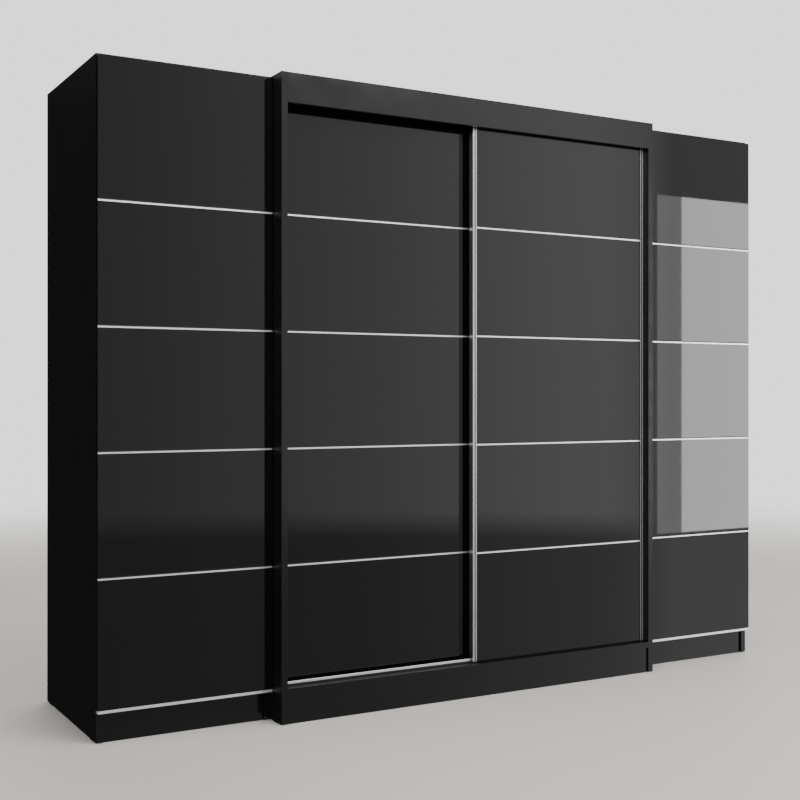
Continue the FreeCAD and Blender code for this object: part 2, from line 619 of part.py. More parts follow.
def end_rails(door, corner, face):
    """The bottom channel that hides the wheels, and the top channel that holds the guides."""
    length = f"{DOOR_WIDTH} - 2 * stile_width"
    wall = "end_rail_wall"
    front, rear = "panel_back", "sliding_depth"

    def channel(tall):
        rear_in = f"{rear} - {wall}"
        front_in = f"{front} + {wall}"
        return [(front, "0"), (rear, "0"), (rear, tall), (rear_in, tall), (rear_in, wall),
                (front_in, wall), (front_in, tall), (front, tall)]

    low_tall = f"({CHANNEL_CEILING} + {wall} - {CHANNEL_FLOOR})"
    downward = [(v, f"{low_tall} - ({up})") for v, up in channel(low_tall)]
    bottom = extruded(f"{door}_bottom_rail", "YZ_Plane", downward, length, (corner, face, CHANNEL_FLOOR))
    top_at = (corner, face, f"{DOOR_TOP} - end_rail_height")
    top = extruded(f"{door}_top_rail", "YZ_Plane", channel("end_rail_height"), length, top_at)
    node(group(f"{door}_end_rails", [bottom, top]), f"{door}_end_rails")


def carriage(label, middle, face):
    """Two cheeks and a block that hang from the bottom channel, with the wheel's axle between."""
    inside = f"{face} + panel_back + end_rail_wall + carriage_play"
    outside = f"{face} + sliding_depth - end_rail_wall - carriage_play"
    start = f"{middle} - carriage_length / 2"
    low = f"({AXLE_HEIGHT} - 2 * axle_radius)"
    tall = f"{CHANNEL_CEILING} - {low}"
    front_cheek = box(f"{label}_front", (start, inside, low), ("carriage_length", "cheek_front", tall))
    rear_at = (start, f"{outside} - cheek_rear", low)
    rear_cheek = box(f"{label}_rear", rear_at, ("carriage_length", "cheek_rear", tall))
    depth = f"{outside} - ({inside})"
    block = box(f"{label}_block", (start, inside, BLOCK_BOTTOM), ("carriage_length", depth, "block_height"))
    axle = rod(f"{label}_axle", "y", "axle_radius", depth, (middle, inside, AXLE_HEIGHT))
    return fused(label, [front_cheek, rear_cheek, block, axle])


def wheel(label, middle, face):
    half = "wheel_width / 2"
    bore = "axle_radius + axle_play"
    rim = "wheel_radius + wheel_flange"
    tread = "rail_width / 2 + tread_play"
    slope = f"{tread} + tread_slope"
    right = [(half, bore), (half, rim), (slope, rim), (tread, "wheel_radius")]
    left = [(f"0 - ({v})", r) for v, r in reversed(right)]
    centre = (middle, f"{face} + {TRACK_CENTRE}", AXLE_HEIGHT)
    return node(turned(f"{label}_body", right + left, centre), label)


def guide(label, middle, face):
    start = f"{middle} - guide_length / 2"
    inside = f"{face} + panel_back + end_rail_wall"
    width = "sliding_depth - panel_back - 2 * end_rail_wall"
    foot_at = (start, inside, f"{DOOR_TOP} - guide_foot")
    foot = box(f"{label}_foot", foot_at, ("guide_length", width, "guide_foot"))
    tongue_size = ("guide_length", f"{width} - 2 * guide_play", "door_top_space - guide_clearance")
    tongue = box(f"{label}_tongue", (start, f"{inside} + guide_play", DOOR_TOP), tongue_size)
    return fused(label, [foot, tongue])


def sliding_door(door, corner, face):
    inner = f"{corner} + stile_width"
    far = f"{corner} + {DOOR_WIDTH}"
    stiles = [stile(f"{door}_left_stile", True, corner, face),
              stile(f"{door}_right_stile", False, f"{far} - stile_width", face)]
    node(group(f"{door}_edge_profiles", stiles), f"{door}_edge_profiles")
    strips = [cross_strip(f"{door}_strip_{k}", inner, face, height)
              for k, height in enumerate(STRIP_HEIGHTS)]
    node(group(f"{door}_strips", strips), f"{door}_strips")
    play = "(web_thickness / 2 + web_play)"
    lows = [DOOR_BOTTOM] + [f"{height} + {play}" for height in STRIP_HEIGHTS]
    highs = [f"{height} - {play}" for height in STRIP_HEIGHTS] + [DOOR_TOP]
    width = f"{DOOR_WIDTH} - 2 * stile_width - 2 * panel_gap"
    panels = []
    for k, (low, high) in enumerate(zip(lows, highs)):
        at = (f"{inner} + panel_gap", f"{face} + panel_recess", low)
        size = (width, "panel_back - panel_recess", f"{high} - ({low})")
        panels.append(box(f"{door}_panel_{k}", at, size))
    node(group(f"{door}_panels", panels), f"{door}_panels")
    end_rails(door, inner, face)
    middles = (f"({corner} + carriage_inset)", f"({far} - carriage_inset)")
    carriages = [carriage(f"{door}_carriage_{i}", x, face) for i, x in enumerate(middles)]
    node(group(f"{door}_carriages", carriages), f"{door}_carriages")
    guides = [guide(f"{door}_guide_{i}", x, face) for i, x in enumerate(middles)]
    node(group(f"{door}_guides", guides), f"{door}_guides")
    for end, x in zip(("left", "right"), middles):
        wheel(f"{door}_wheel_{end}", x, face)


REAR_FACE = f"({SLIDE_FACE} + track_pitch)"
sliding_door("front_door", f"({OPEN_HALF} - side_play - {DOOR_WIDTH})", SLIDE_FACE)
sliding_door("rear_door", f"(side_play - {OPEN_HALF})", REAR_FACE)


# ---------------------------------------------------------------- tracks

def tracks():
    left = f"0 - {OPEN_HALF}"
    length = f"2 * {OPEN_HALF}"
    bases = []
    rails = []
    stops = []
    chamfer = "rail_chamfer"
    section = (
        ("0 - rail_width / 2", "0"), ("rail_width / 2", "0"), ("rail_width / 2", f"rail_height - {chamfer}"),
        (f"rail_width / 2 - {chamfer}", "rail_height"), (f"{chamfer} - rail_width / 2", "rail_height"),
        ("0 - rail_width / 2", f"rail_height - {chamfer}"),
    )
    for name, face in (("front", SLIDE_FACE), ("rear", REAR_FACE)):
        line = f"{face} + {TRACK_CENTRE}"
        base_at = (left, f"{line} + stile_edge - base_width / 2", FLOOR_TOP)
        bases.append(box(f"{name}_base", base_at, (length, "base_width - 2 * stile_edge", "base_height")))
        rail_at = (left, line, f"{FLOOR_TOP} + base_height")
        rails.append(extruded(f"{name}_rail", "YZ_Plane", section, length, rail_at))
        stop_length = "(carriage_inset - guide_length / 2 + side_play - stop_gap)"
        lane = f"{face} + panel_back + end_rail_wall + guide_play"
        lane_width = "sliding_depth - panel_back - 2 * end_rail_wall - 2 * guide_play"
        low = f"{DOOR_TOP} + guide_clearance"
        size = (stop_length, lane_width, f"{UNDER_TOP} - track_wall - ({low})")
        for end, start in (("left", left), ("right", f"{OPEN_HALF} - {stop_length}")):
            stops.append(box(f"{name}_stop_{end}", (start, lane, low), size))
    node(group("bottom_track_bases", bases), "bottom_track_bases")
    node(group("bottom_rails", rails), "bottom_rails")
    node(group("track_stops", stops), "track_stops")
    wall = "track_wall"
    low = "0 - track_height"
    under = f"0 - {wall}"
    front_in = "(panel_back + end_rail_wall)"
    front_out = "(sliding_depth - end_rail_wall)"
    fins = []
    for shift in ("0", "track_pitch"):
        start = f"({shift} + {front_in} - {wall})"
        end = f"({shift} + {front_out})"
        for fin in (start, end):
            fins += [(fin, under), (fin, low), (f"{fin} + {wall}", low), (f"{fin} + {wall}", under)]
    outline_points = [(fins[0][0], "0")] + fins[1:-1] + [(fins[-1][0], "0")]
    track = extruded("track_profile", "YZ_Plane", outline_points, length, (left, SLIDE_FACE, UNDER_TOP))
    node(track, "top_track")


tracks()

# ---------------------------------------------------------------- checks and files

doc.recompute()
for obj in doc.Objects:
    if "Invalid" in obj.State or "Error" in obj.State:
        raise RuntimeError(f"{obj.Label} failed: {obj.State}")
for obj in NODES:
    if obj.Shape.isNull() or not obj.Shape.isValid() or not obj.Shape.Solids:
        raise RuntimeError(f"{obj.Label} has no valid shape")

os.makedirs("parts", exist_ok=True)
for obj in NODES:
    obj.Shape.exportStep(f"parts/{obj.Label}.step")
print(len(NODES), "sub-parts written")
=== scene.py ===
import json
import math

import bmesh
import bpy
from mathutils import Matrix, Vector


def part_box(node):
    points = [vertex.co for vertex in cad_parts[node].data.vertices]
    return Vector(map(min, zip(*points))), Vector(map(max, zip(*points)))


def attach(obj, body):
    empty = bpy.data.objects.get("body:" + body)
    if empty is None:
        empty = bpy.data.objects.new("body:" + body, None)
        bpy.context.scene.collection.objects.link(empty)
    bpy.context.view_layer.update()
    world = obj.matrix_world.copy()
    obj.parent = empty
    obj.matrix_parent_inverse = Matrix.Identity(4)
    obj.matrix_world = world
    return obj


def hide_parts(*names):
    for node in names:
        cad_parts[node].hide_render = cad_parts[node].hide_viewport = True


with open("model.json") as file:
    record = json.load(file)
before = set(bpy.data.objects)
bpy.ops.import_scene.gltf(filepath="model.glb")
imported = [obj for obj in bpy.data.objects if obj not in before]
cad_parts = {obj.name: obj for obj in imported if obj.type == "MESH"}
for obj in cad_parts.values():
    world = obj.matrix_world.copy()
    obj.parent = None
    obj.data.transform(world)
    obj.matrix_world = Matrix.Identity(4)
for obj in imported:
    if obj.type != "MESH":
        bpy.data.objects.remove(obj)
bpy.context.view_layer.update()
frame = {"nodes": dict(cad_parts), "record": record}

# A black gloss wardrobe: sliding doors in the middle, a hinged door on each side. The cabinet, doors and
# fittings come from the frame. This script eases their edges, adds the seals and screws, and gives the finishes.

NODES = frame["nodes"]
SLOT_OF = {part["node"]: part["material_slot"] for part in frame["record"]["subparts"]}
BODY_OF = {name: body for body, names in frame["record"]["behaviour"]["bodies"].items() for name in names}
MM = 0.001


def linear(value):
    """An sRGB hex colour as linear red, green, blue and alpha."""
    channels = [int(value[i:i + 2], 16) / 255 for i in (1, 3, 5)]
    bent = [c / 12.92 if c <= 0.04045 else ((c + 0.055) / 1.055) ** 2.4 for c in channels]
    return (*bent, 1.0)


def add(tree, kind, settings=None, links=None):
    """Adds a shader node. Settings are sockets by name or number, or the node's own properties."""
    made = tree.nodes.new(kind)
    for name, value in (settings or {}).items():
        if isinstance(name, int) or name in made.inputs:
            made.inputs[name].default_value = value
        else:
            setattr(made, name, value)
    for name, source in (links or {}).items():
        tree.links.new(source, made.inputs[name])
    return made


# ---------------------------------------------------------------- camera

CAMERA_PLACE = (-2.4555, -4.0468, 1.088)
CAMERA_TURN = -29.717
CAMERA_LENS = 55.3
CAMERA_SHIFT = -0.0071


def add_camera():
    """A level camera at chest height, left of the wardrobe, looking across its front."""
    data = bpy.data.cameras.new("camera")
    data.sensor_width = 36.0
    data.lens = CAMERA_LENS
    data.shift_y = CAMERA_SHIFT
    camera = bpy.data.objects.new("camera", data)
    camera.location = CAMERA_PLACE
    camera.rotation_euler = (math.radians(90), 0, math.radians(CAMERA_TURN))
    bpy.context.scene.collection.objects.link(camera)
    bpy.context.scene.camera = camera


# ---------------------------------------------------------------- studio

# Brightness round the studio, as the gloss sees it. Each pair is a share of the full turn and a brightness:
# 0 is behind the wardrobe, 0.25 its left, 0.5 straight in front of it and 0.75 its right.
STUDIO_WALLS = (
    (0.0, 0.02), (0.03, 0.004), (0.11, 0.004), (0.17, 0.2), (0.25, 0.45), (0.33, 0.5), (0.39, 0.4),
    (0.44, 0.25), (0.5, 0.17), (0.532, 0.16), (0.549, 0.21), (0.58, 0.37), (0.602, 0.54), (0.6122, 0.56),
    (0.6164, 0.27), (0.66, 0.3), (0.75, 0.4), (0.88, 0.35), (0.95, 0.15), (1.0, 0.02),
)
STUDIO_GROUND = (
    (0.0, 0.02), (0.03, 0.006), (0.11, 0.006), (0.17, 0.1), (0.25, 0.2), (0.33, 0.22), (0.39, 0.18),
    (0.44, 0.12), (0.5, 0.08), (0.532, 0.085), (0.549, 0.1), (0.58, 0.13), (0.602, 0.21), (0.6122, 0.24),
    (0.6164, 0.38), (0.66, 0.34), (0.75, 0.3), (0.88, 0.2), (0.95, 0.1), (1.0, 0.02),
)
# The ground gives way to the walls a little below eye level, between these two upward slopes.
WALLS_START = (-0.115, -0.095)
STUDIO_STRENGTH = 2.9
BACKDROP_COLOUR = "#f4f3f1"
BACKDROP_STRENGTH = 1.9

# Where each softbox is and what it faces, its width and height in metres, and its watts. The first two stand
# for a window and its curtain in the right door's gloss.
SOFTBOXES = {
    "window_softbox": ((5.57, -3.77, 1.32), (5.57, 0, 1.32), 2.7, 2.62, 184),
    "window_curtain_softbox": ((4.095, -3.77, 1.32), (4.095, 0, 1.32), 0.25, 2.62, 3.7),
    "overhead_softbox": ((0.0, -2.6, 3.6), (0, -0.3, 0.9), 3.0, 1.4, 120),
    "rear_softbox": ((0.0, 3.4, 3.6), (0, 0.3, 1.0), 3.0, 1.4, 70),
}

FLOOR_HALF = 14
FLOOR_FADE = (3.0, 9.0)


def add_world():
    """A pale studio that brightens to the right in the gloss, behind a plain backdrop that the camera sees."""
    world = bpy.data.worlds.new("studio")
    bpy.context.scene.world = world
    world.use_nodes = True
    tree = world.node_tree
    tree.nodes.clear()
    place = add(tree, "ShaderNodeTexCoord")
    split = add(tree, "ShaderNodeSeparateXYZ", links={"Vector": place.outputs["Generated"]})
    ahead = add(tree, "ShaderNodeMath", {"operation": "MULTIPLY", 1: -1.0}, {0: split.outputs["Y"]})
    angle = add(tree, "ShaderNodeMath", {"operation": "ARCTAN2"}, {0: split.outputs["X"], 1: ahead.outputs[0]})
    turn = add(tree, "ShaderNodeMapRange", {"From Min": -math.pi, "From Max": math.pi},
               {"Value": angle.outputs[0]})
    height = add(tree, "ShaderNodeMapRange", {"From Min": WALLS_START[0], "From Max": WALLS_START[1]},
                 {"Value": split.outputs["Z"]})
    halves = add(tree, "ShaderNodeMix", {"data_type": "RGBA"}, {0: height.outputs["Result"]})
    ground_colour, walls_colour = halves.inputs[6], halves.inputs[7]
    for stops, socket in ((STUDIO_WALLS, walls_colour), (STUDIO_GROUND, ground_colour)):
        ramp = add(tree, "ShaderNodeValToRGB", links={"Fac": turn.outputs["Result"]})
        elements = ramp.color_ramp.elements
        elements[0].position = stops[0][0]
        elements[1].position = stops[-1][0]
        for position, _ in stops[1:-1]:
            elements.new(position)
        for element, (_, value) in zip(elements, stops):
            element.color = (value, value, value, 1)
        tree.links.new(ramp.outputs["Color"], socket)
    room = add(tree, "ShaderNodeBackground", {"Strength": STUDIO_STRENGTH}, {"Color": halves.outputs[2]})
    backdrop = add(tree, "ShaderNodeBackground",
                   {"Color": linear(BACKDROP_COLOUR), "Strength": BACKDROP_STRENGTH})
    path = add(tree, "ShaderNodeLightPath")
    either = add(tree, "ShaderNodeMixShader",
                 links={0: path.outputs["Is Camera Ray"], 1: room.outputs[0], 2: backdrop.outputs[0]})
    add(tree, "ShaderNodeOutputWorld", links={"Surface": either.outputs[0]})


def add_softbox(name, centre, target, width, height, watts):
    """A rectangular studio light that faces a target."""
    data = bpy.data.lights.new(name, "AREA")
    data.shape = "RECTANGLE"
    data.size = width
    data.size_y = height
    data.energy = watts
    light = bpy.data.objects.new(name, data)
    light.location = centre
    light.rotation_euler = (Vector(target) - Vector(centre)).to_track_quat("-Z", "Y").to_euler()
    bpy.context.scene.collection.objects.link(light)


def floor_paint():
    """Matt studio paint that fades into the backdrop away from the wardrobe."""
    paint = bpy.data.materials.new("matt studio floor paint")
    paint.use_nodes = True
    tree = paint.node_tree
    shader = tree.nodes["Principled BSDF"]
    shader.inputs["Base Color"].default_value = linear("#d6d1ca")
    shader.inputs["Roughness"].default_value = 0.55
    place = add(tree, "ShaderNodeTexCoord")
    reach = add(tree, "ShaderNodeVectorMath", {"operation": "LENGTH"}, {0: place.outputs["Object"]})
    limits = {"interpolation_type": "SMOOTHSTEP", "From Min": FLOOR_FADE[0], "From Max": FLOOR_FADE[1],
              "To Min": 1.0, "To Max": 0.0}
    fade = add(tree, "ShaderNodeMapRange", limits, {"Value": reach.outputs["Value"]})
    tree.links.new(fade.outputs["Result"], shader.inputs["Alpha"])
    return paint


def add_floor():
    """A plain floor that the gloss doesn't show, because the studio's ground stands for it there."""
    mesh = bpy.data.meshes.new("studio_floor")
    shape = bmesh.new()
    bmesh.ops.create_grid(shape, x_segments=1, y_segments=1, size=FLOOR_HALF)
    shape.to_mesh(mesh)
    shape.free()
    floor = bpy.data.objects.new("studio_floor", mesh)
    bpy.context.scene.collection.objects.link(floor)
    mesh.materials.append(floor_paint())
    floor.visible_glossy = False


add_camera()
add_world()
add_floor()
for name, setting in SOFTBOXES.items():
    add_softbox(name, *setting)


# ---------------------------------------------------------------- finishes

# The part of a noise's range that is taken to the two ends of a roughness range.
NOISE_LOW, NOISE_HIGH = 0.3, 0.7


def finish(name, base, roughness, metallic=0.0, ior=None):
    """Starts a named material with the values that are the same all over it. A metal keeps the default IOR."""
    material = bpy.data.materials.new(name)
    material.use_nodes = True
    shader = material.node_tree.nodes["Principled BSDF"]
    shader.inputs["Base Color"].default_value = linear(base)
    shader.inputs["Roughness"].default_value = roughness
    shader.inputs["Metallic"].default_value = metallic
    if ior:
        shader.inputs["IOR"].default_value = ior
    return material


def texture(material, size_mm, detail, stretch=(1, 1, 1), relief=None, roughness=None):
    """Adds surface detail about size_mm across, drawn out along an axis whose stretch is small.

    It gives a relief, as a height in millimetres and a strength, or a range of roughness, or both.
    """
    tree = material.node_tree
    shader = tree.nodes["Principled BSDF"]
    place = add(tree, "ShaderNodeTexCoord")
    drawn_out = add(tree, "ShaderNodeMapping", {"Scale": stretch}, {"Vector": place.outputs["Object"]})
    grain = add(tree, "ShaderNodeTexNoise", {"Scale": 1 / (size_mm * MM), "Detail": detail},
                {"Vector": drawn_out.outputs[0]})
    if relief:
        bump = add(tree, "ShaderNodeBump", {"Distance": relief[0] * MM, "Strength": relief[1]},
                   {"Height": grain.outputs["Fac"]})
        tree.links.new(bump.outputs["Normal"], shader.inputs["Normal"])
    if roughness:
        limits = {"From Min": NOISE_LOW, "From Max": NOISE_HIGH, "To Min": roughness[0], "To Max": roughness[1]}
        spread = add(tree, "ShaderNodeMapRange", limits, {"Value": grain.outputs["Fac"]})
        tree.links.new(spread.outputs["Result"], shader.inputs["Roughness"])


# Polished polyester lacquer on board: deep black and mirror sharp, with a faint long ripple in reflections.
LACQUER = finish("polished black lacquer", "#0a0a0b", 0.02, ior=1.5)
texture(LACQUER, 320, 1.0, relief=(0.08, 0.3))
texture(LACQUER, 40, 4.0, roughness=(0.01, 0.03))

# Gloss melamine on chipboard: black, a little softer than the lacquer, with a fine orange peel.
LAMINATE = finish("black gloss melamine board", "#0b0b0c", 0.12, ior=1.5)
texture(LAMINATE, 6, 2.0, relief=(0.01, 0.35))
texture(LAMINATE, 90, 3.0, roughness=(0.1, 0.16))

# Satin melamine on chipboard: a fine pearl texture, black with a weak soft sheen.
SATIN = finish("black satin melamine board", "#0d0d0d", 0.4, ior=1.35)
texture(SATIN, 1.6, 2.0, relief=(0.02, 0.4))
texture(SATIN, 120, 3.0, roughness=(0.38, 0.42))

# Satin anodised aluminium: fine drawing lines along the extrusion, so highlights stretch across them. The
# strips, trims and tracks are drawn across the wardrobe, and the sliding doors' edge profiles upright.
# The two are copies of one metal with painted light: the strips' copy has a whiter, partly matt base as a
# painted highlight, and the edge profiles' copy has a darker grey base as painted shade.
ALUMINIUM_ACROSS_PAINTED_LIGHTER = finish("satin anodised aluminium, drawn across, painted lighter", "#eceded", 0.42, metallic=0.85)
texture(ALUMINIUM_ACROSS_PAINTED_LIGHTER, 0.8, 3.0, stretch=(0.01, 1, 1), relief=(0.01, 0.4), roughness=(0.36, 0.5))
ALUMINIUM_UPRIGHT_PAINTED_DARKER = finish("satin anodised aluminium, drawn upright, painted darker", "#c2c4c6", 0.26, metallic=1.0)
texture(ALUMINIUM_UPRIGHT_PAINTED_DARKER, 0.8, 3.0, stretch=(1, 1, 0.01), relief=(0.01, 0.4), roughness=(0.2, 0.34))

# Painted shade in the groove of an upright edge profile: its floor and walls are painted dull and dark where
# shade falls, with roughness that streaks along it like dust.
PAINTED_GROOVE_SHADE = finish("painted shade in the profile groove", "#2a2b2c", 0.6, ior=1.45)
texture(PAINTED_GROOVE_SHADE, 1.2, 3.0, stretch=(1, 1, 0.05), roughness=(0.5, 0.75))

# Zinc-plated pressed steel: grey, slightly mottled by the plating.
STEEL = finish("zinc plated steel", "#a9acae", 0.35, metallic=1.0)
texture(STEEL, 3, 3.0, roughness=(0.28, 0.45))

# Chrome-plated tube: bright and sharp, with fine wear from hangers.
CHROME = finish("chrome plated tube", "#d8dadc", 0.08, metallic=1.0)
texture(CHROME, 1.5, 3.0, stretch=(4, 0.4, 1), roughness=(0.05, 0.16))

# Moulded black nylon: soft sheen over a fine spark texture from the mould.
NYLON = finish("moulded black nylon", "#141415", 0.45, ior=1.53)
texture(NYLON, 0.7, 2.0, relief=(0.03, 0.5))

# Clear-grey polyurethane rubber: matt, with a dusty bloom.
RUBBER = finish("grey polyurethane rubber", "#7c7d7e", 0.6, ior=1.5)
texture(RUBBER, 2, 3.0, roughness=(0.5, 0.75))

# Painted hardboard: matt black with the faint fibre of the pressed sheet.
HARDBOARD = finish("black painted hardboard", "#161616", 0.5, ior=1.45)
texture(HARDBOARD, 2.5, 4.0, relief=(0.06, 0.6), roughness=(0.42, 0.6))

# Extruded black seal rubber: matt, with faint upright lines.
SEAL = finish("extruded black seal rubber", "#0a0a0a", 0.7, ior=1.5)
texture(SEAL, 0.5, 2.0, stretch=(1, 1, 0.02), relief=(0.02, 0.4), roughness=(0.6, 0.8))

SLOT_FINISH = {
    "black_gloss_board": LAMINATE, "black_gloss_front": LACQUER, "black_hardboard": HARDBOARD,
    "satin_aluminium": ALUMINIUM_ACROSS_PAINTED_LIGHTER, "zinc_plated_steel": STEEL, "chrome_tube": CHROME,
    "black_plastic": NYLON, "grey_rubber": RUBBER,
}
# The edge profiles get the darker painted copy of the aluminium, and every other aluminium slot gets the lighter
# painted copy.
for name, node in NODES.items():
    upright = name.endswith("edge_profiles")
    node.data.materials.clear()
    node.data.materials.append(ALUMINIUM_UPRIGHT_PAINTED_DARKER if upright else SLOT_FINISH[SLOT_OF[name]])


# ---------------------------------------------------------------- eased edges

# Widths of the eased edges, in millimetres.
BOARD_EDGE = 0.5
INNER_BOARD_EDGE = 0.25
METAL_EDGE = 0.2
WELD = 1e-6
FLAT = math.radians(1)
SHARP = math.radians(50)
CREASE = math.radians(40)


def keep(name, shape, finishes, body):
    """Turns a finished bmesh into a piece of the object."""
    mesh = bpy.data.meshes.new(name)
    shape.to_mesh(mesh)
    shape.free()
    piece = bpy.data.objects.new(name, mesh)
    bpy.context.scene.collection.objects.link(piece)
    for material in finishes:
        mesh.materials.append(material)
    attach(piece, body)
    return piece


def eased(name, width_mm, second=None, takes_second=None, rounded=False, apart=None):
    """Stands for a CAD node with the same solids, their sharp edges rounded as on the real piece.

    Faces that takes_second picks get the second finish. A rounded piece is shaded as one smooth surface
    between its sharp edges. Solids that touch are merged by themselves where apart tells them from each other.
    """
    shape = bmesh.new()
    shape.from_mesh(NODES[name].data)
    solids = {}
    for vert in shape.verts:
        solids.setdefault(apart(vert.link_faces[0]) if apart else 0, []).append(vert)
    for verts in solids.values():
        bmesh.ops.remove_doubles(shape, verts=verts, dist=WELD)
    bmesh.ops.dissolve_limit(shape, angle_limit=FLAT, verts=shape.verts, edges=shape.edges)
    sharp = [edge for edge in shape.edges if edge.is_manifold and edge.calc_face_angle() > SHARP]
    bmesh.ops.bevel(shape, geom=sharp, offset=width_mm * MM, affect="EDGES", segments=2, profile=0.5,
                    material=-1, clamp_overlap=True)
    finishes = [NODES[name].data.materials[0]]
    if second:
        finishes.append(second)
        for face in shape.faces:
            face.material_index = 1 if takes_second(face) else 0
    if rounded:
        for face in shape.faces:
            face.smooth = True
        for edge in shape.edges:
            edge.smooth = not edge.is_manifold or edge.calc_face_angle() < CREASE
    piece = keep(f"{name}_eased", shape, finishes, BODY_OF[name])
    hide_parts(name)


def off_front(face):
    """Everything but a board's front edge, which alone has gloss edging."""
    return face.normal.y > -0.5


def groove_of(profiles):
    """Picks the floor and walls of the groove in a stile's nose, by how far they lie behind its two ribs, for
    the painted shade.
    """
    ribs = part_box(profiles)[0][1]
    mouth, wall_end, floor = 0.9 * MM, 2.6 * MM, 3.5 * MM

    def picks(face):
        depth = face.calc_center_median().y - ribs
        return mouth < depth < floor and (face.normal.y < -0.5 or depth < wall_end)
    return picks


def cabinet_of(face):
    """Which cabinet a face belongs to, read just inside its own solid."""
    inside = face.calc_center_median().x - face.normal.x * 0.1 * MM
    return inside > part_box("centre_left_gable")[0][0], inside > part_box("centre_right_gable")[1][0]


for name in NODES:
    if name.endswith("gable"):
        eased(name, BOARD_EDGE, SATIN, off_front)
for name in ("centre_partition", "centre_shelves", "left_shelves", "right_shelves", "centre_bottom_board",
             "side_bottom_boards", "side_top_boards", "centre_top_board"):
    eased(name, INNER_BOARD_EDGE, SATIN, off_front)
for name in ("header_fascia", "centre_plinth", "side_plinths", "left_door_leaf", "right_door_leaf",
             "front_door_panels", "rear_door_panels"):
    eased(name, BOARD_EDGE)
for name in ("left_door_strips", "right_door_strips", "left_door_trim", "right_door_trim", "front_door_strips",
             "rear_door_strips", "top_track", "bottom_track_bases", "front_door_end_rails",
             "rear_door_end_rails"):
    eased(name, METAL_EDGE)
for name in ("front_door_edge_profiles", "rear_door_edge_profiles"):
    # The floor and walls of each profile's groove get the painted shade.
    eased(name, METAL_EDGE, PAINTED_GROOVE_SHADE, groove_of(name))

FITTINGS = {
    "hanging_rails": 0.2, "rail_sockets": 0.5, "shelf_pins": 0.4, "cabinet_bolts": 0.6, "support_legs": 1.0,
    "latch_bodies": 0.8, "left_latch_plunger": 0.8, "right_latch_plunger": 0.8, "left_hinge_cups": 0.2,
    "right_hinge_cups": 0.2, "hinge_arms": 0.3, "left_hinge_links": 0.3, "right_hinge_links": 0.3,
    "door_buffers": 0.6, "track_stops": 0.5,
}
for kind, width in (("carriages", 0.3), ("guides", 0.5), ("wheel_left", 0.3), ("wheel_right", 0.3)):
    FITTINGS[f"front_door_{kind}"] = width
    FITTINGS[f"rear_door_{kind}"] = width
for name, width in FITTINGS.items():
    eased(name, width, rounded=True)
# Neighbouring cabinets stand side by side, so the glides under their gables touch.
eased("floor_glides", 0.5, rounded=True, apart=cabinet_of)


# ---------------------------------------------------------------- seals

def islands(name):
    """The lowest and highest corners of each separate solid of a node."""
    shape = bmesh.new()
    shape.from_mesh(NODES[name].data)
    bmesh.ops.remove_doubles(shape, verts=shape.verts, dist=WELD)
    seen = set()
    found = []
    for first in shape.verts:
        if first in seen:
            continue
        seen.add(first)
        reached = [first]
        points = []
        while reached:
            vert = reached.pop()
            points.append(vert.co.copy())
            for edge in vert.link_edges:
                other = edge.other_vert(vert)
                if other not in seen:
                    seen.add(other)
                    reached.append(other)
        found.append(tuple(Vector([pick(point[axis] for point in points) for axis in range(3)])
                           for pick in (min, max)))
    shape.free()
    return found


def draw_out(shape, outline, travel):
    """Draws a closed outline of vertices along a straight line into a solid bar."""
    end = shape.faces.new(outline)
    grown = bmesh.ops.extrude_face_region(shape, geom=[end])["geom"]
    moved = [item for item in grown if isinstance(item, bmesh.types.BMVert)]
    bmesh.ops.translate(shape, vec=travel, verts=moved)


# A glazing seal fills the gap between a panel and its edge profile, from the panel's back to a half-round
# front, which stands a little behind the profile's face.
PANEL_GAP = 3.2
SEAL_RECESS = 1.5
ROUND_STEPS = 8
for door in ("front_door", "rear_door"):
    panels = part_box(f"{door}_panels")
    low, high, back = panels[0][2], panels[1][2], panels[1][1]
    half = PANEL_GAP / 2 * MM
    round_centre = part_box(f"{door}_edge_profiles")[0][1] + SEAL_RECESS * MM + half
    shape = bmesh.new()
    for middle in (panels[0][0] - half, panels[1][0] + half):
        others = set(shape.verts)
        edge = shape.verts.new((middle - half, round_centre, low))
        bmesh.ops.spin(shape, geom=[edge], cent=(middle, round_centre, low), axis=(0, 0, 1), angle=math.pi,
                       steps=ROUND_STEPS)
        front = sorted(set(shape.verts) - others, key=lambda vert: vert.co.x)
        corners = [shape.verts.new((middle + side * half, back, low)) for side in (1, -1)]
        draw_out(shape, front + corners, (0, 0, high - low))
    bmesh.ops.recalc_face_normals(shape, faces=shape.faces)
    keep(f"{door}_glazing_seals", shape, [SEAL], door)

